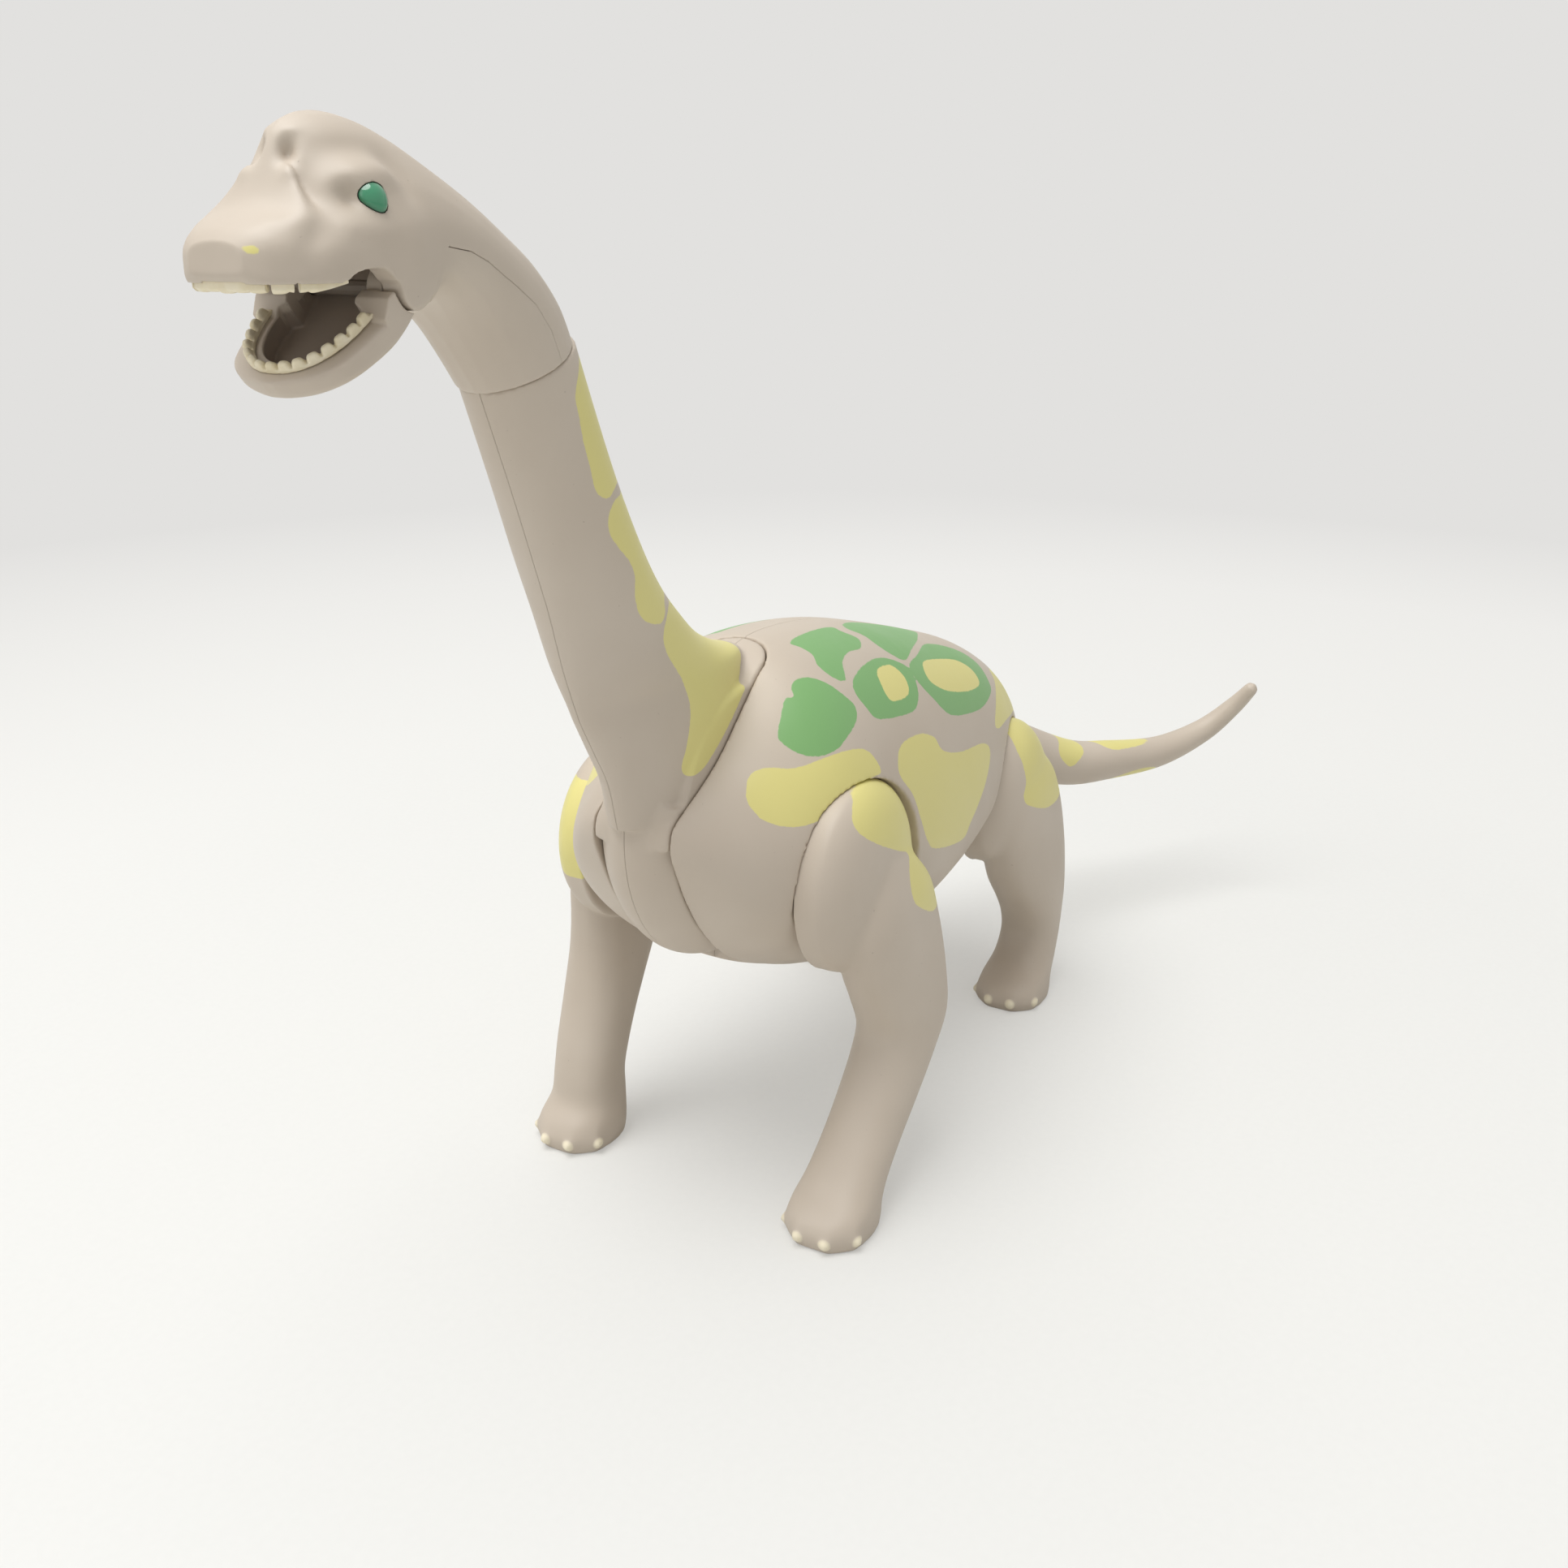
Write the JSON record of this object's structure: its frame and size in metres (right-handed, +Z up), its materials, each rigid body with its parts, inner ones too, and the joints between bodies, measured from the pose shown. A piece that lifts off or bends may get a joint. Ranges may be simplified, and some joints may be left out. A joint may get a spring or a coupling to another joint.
{
  "type": "toy dinosaur figure",
  "caption": "Posable long-necked toy dinosaur with a tilting neck, turning head, hinged jaw, swinging legs and turning tail.",
  "frame": {"origin": "middle of the part's box in plan, on the floor under the feet", "axes": "+X forward towards the head, +Y to the animal's left, +Z up"},
  "size_m": [0.4676, 0.1488, 0.3005],
  "materials": {
    "skin": "satin moulded plastic, warm taupe",
    "tooth": "satin, cream",
    "eye": "gloss, green",
    "pin": "plain moulded plastic"
  },
  "bodies": {
    "torso": {"torso_left_shell": "skin", "torso_right_shell": "skin", "neck_pivot_axle": "pin"},
    "neck": {"neck_left_shell": "skin", "neck_right_shell": "skin"},
    "head": {"head_swivel_plug": "pin", "skull_shell": "skin", "throat_shell": "skin", "upper_teeth": "tooth", "left_eye": "eye", "right_eye": "eye", "jaw_hinge_pin": "pin"},
    "jaw": {"lower_jaw": "skin", "lower_teeth": "tooth"},
    "front_left_limb": {"front_left_leg": "skin", "front_left_leg_pin": "pin"},
    "front_right_limb": {"front_right_leg": "skin", "front_right_leg_pin": "pin"},
    "hind_left_limb": {"hind_left_leg": "skin", "hind_left_leg_pin": "pin"},
    "hind_right_limb": {"hind_right_leg": "skin", "hind_right_leg_pin": "pin"},
    "tail": {"tail": "skin", "tail_pin": "pin"}
  },
  "joints": [
    {"name": "neck_tilt", "type": "hinge", "parent": "torso", "child": "neck", "pos_m": [0.072, -0.01366, 0.123], "axis": [0, 1, 0], "range_deg": [0, 45]},
    {"name": "head_swivel", "type": "hinge", "parent": "neck", "child": "head", "pos_m": [0.1525, -0.01366, 0.2505], "axis": [0.4003, 0, 0.9164], "range_deg": [-90, 90]},
    {"name": "jaw_hinge", "type": "hinge", "parent": "head", "child": "jaw", "pos_m": [0.202, -0.01366, 0.2696], "axis": [0, -1, 0], "range_deg": [0, 22]},
    {"name": "front_left_shoulder", "type": "hinge", "parent": "torso", "child": "front_left_limb", "pos_m": [0.062, 0.02834, 0.103], "axis": [0, -1, 0], "range_deg": [-10, 30]},
    {"name": "front_right_shoulder", "type": "hinge", "parent": "torso", "child": "front_right_limb", "pos_m": [0.062, -0.05566, 0.103], "axis": [0, -1, 0], "range_deg": [-10, 30]},
    {"name": "hind_left_hip", "type": "hinge", "parent": "torso", "child": "hind_left_limb", "pos_m": [-0.069, 0.02034, 0.086], "axis": [0, -1, 0], "range_deg": [-20, 30]},
    {"name": "hind_right_hip", "type": "hinge", "parent": "torso", "child": "hind_right_limb", "pos_m": [-0.069, -0.04766, 0.086], "axis": [0, -1, 0], "range_deg": [-20, 30]},
    {"name": "tail_turn", "type": "hinge", "parent": "torso", "child": "tail", "pos_m": [-0.113, -0.01366, 0.089], "axis": [-1, 0, 0], "range_deg": [-80, 80]}
  ]
}
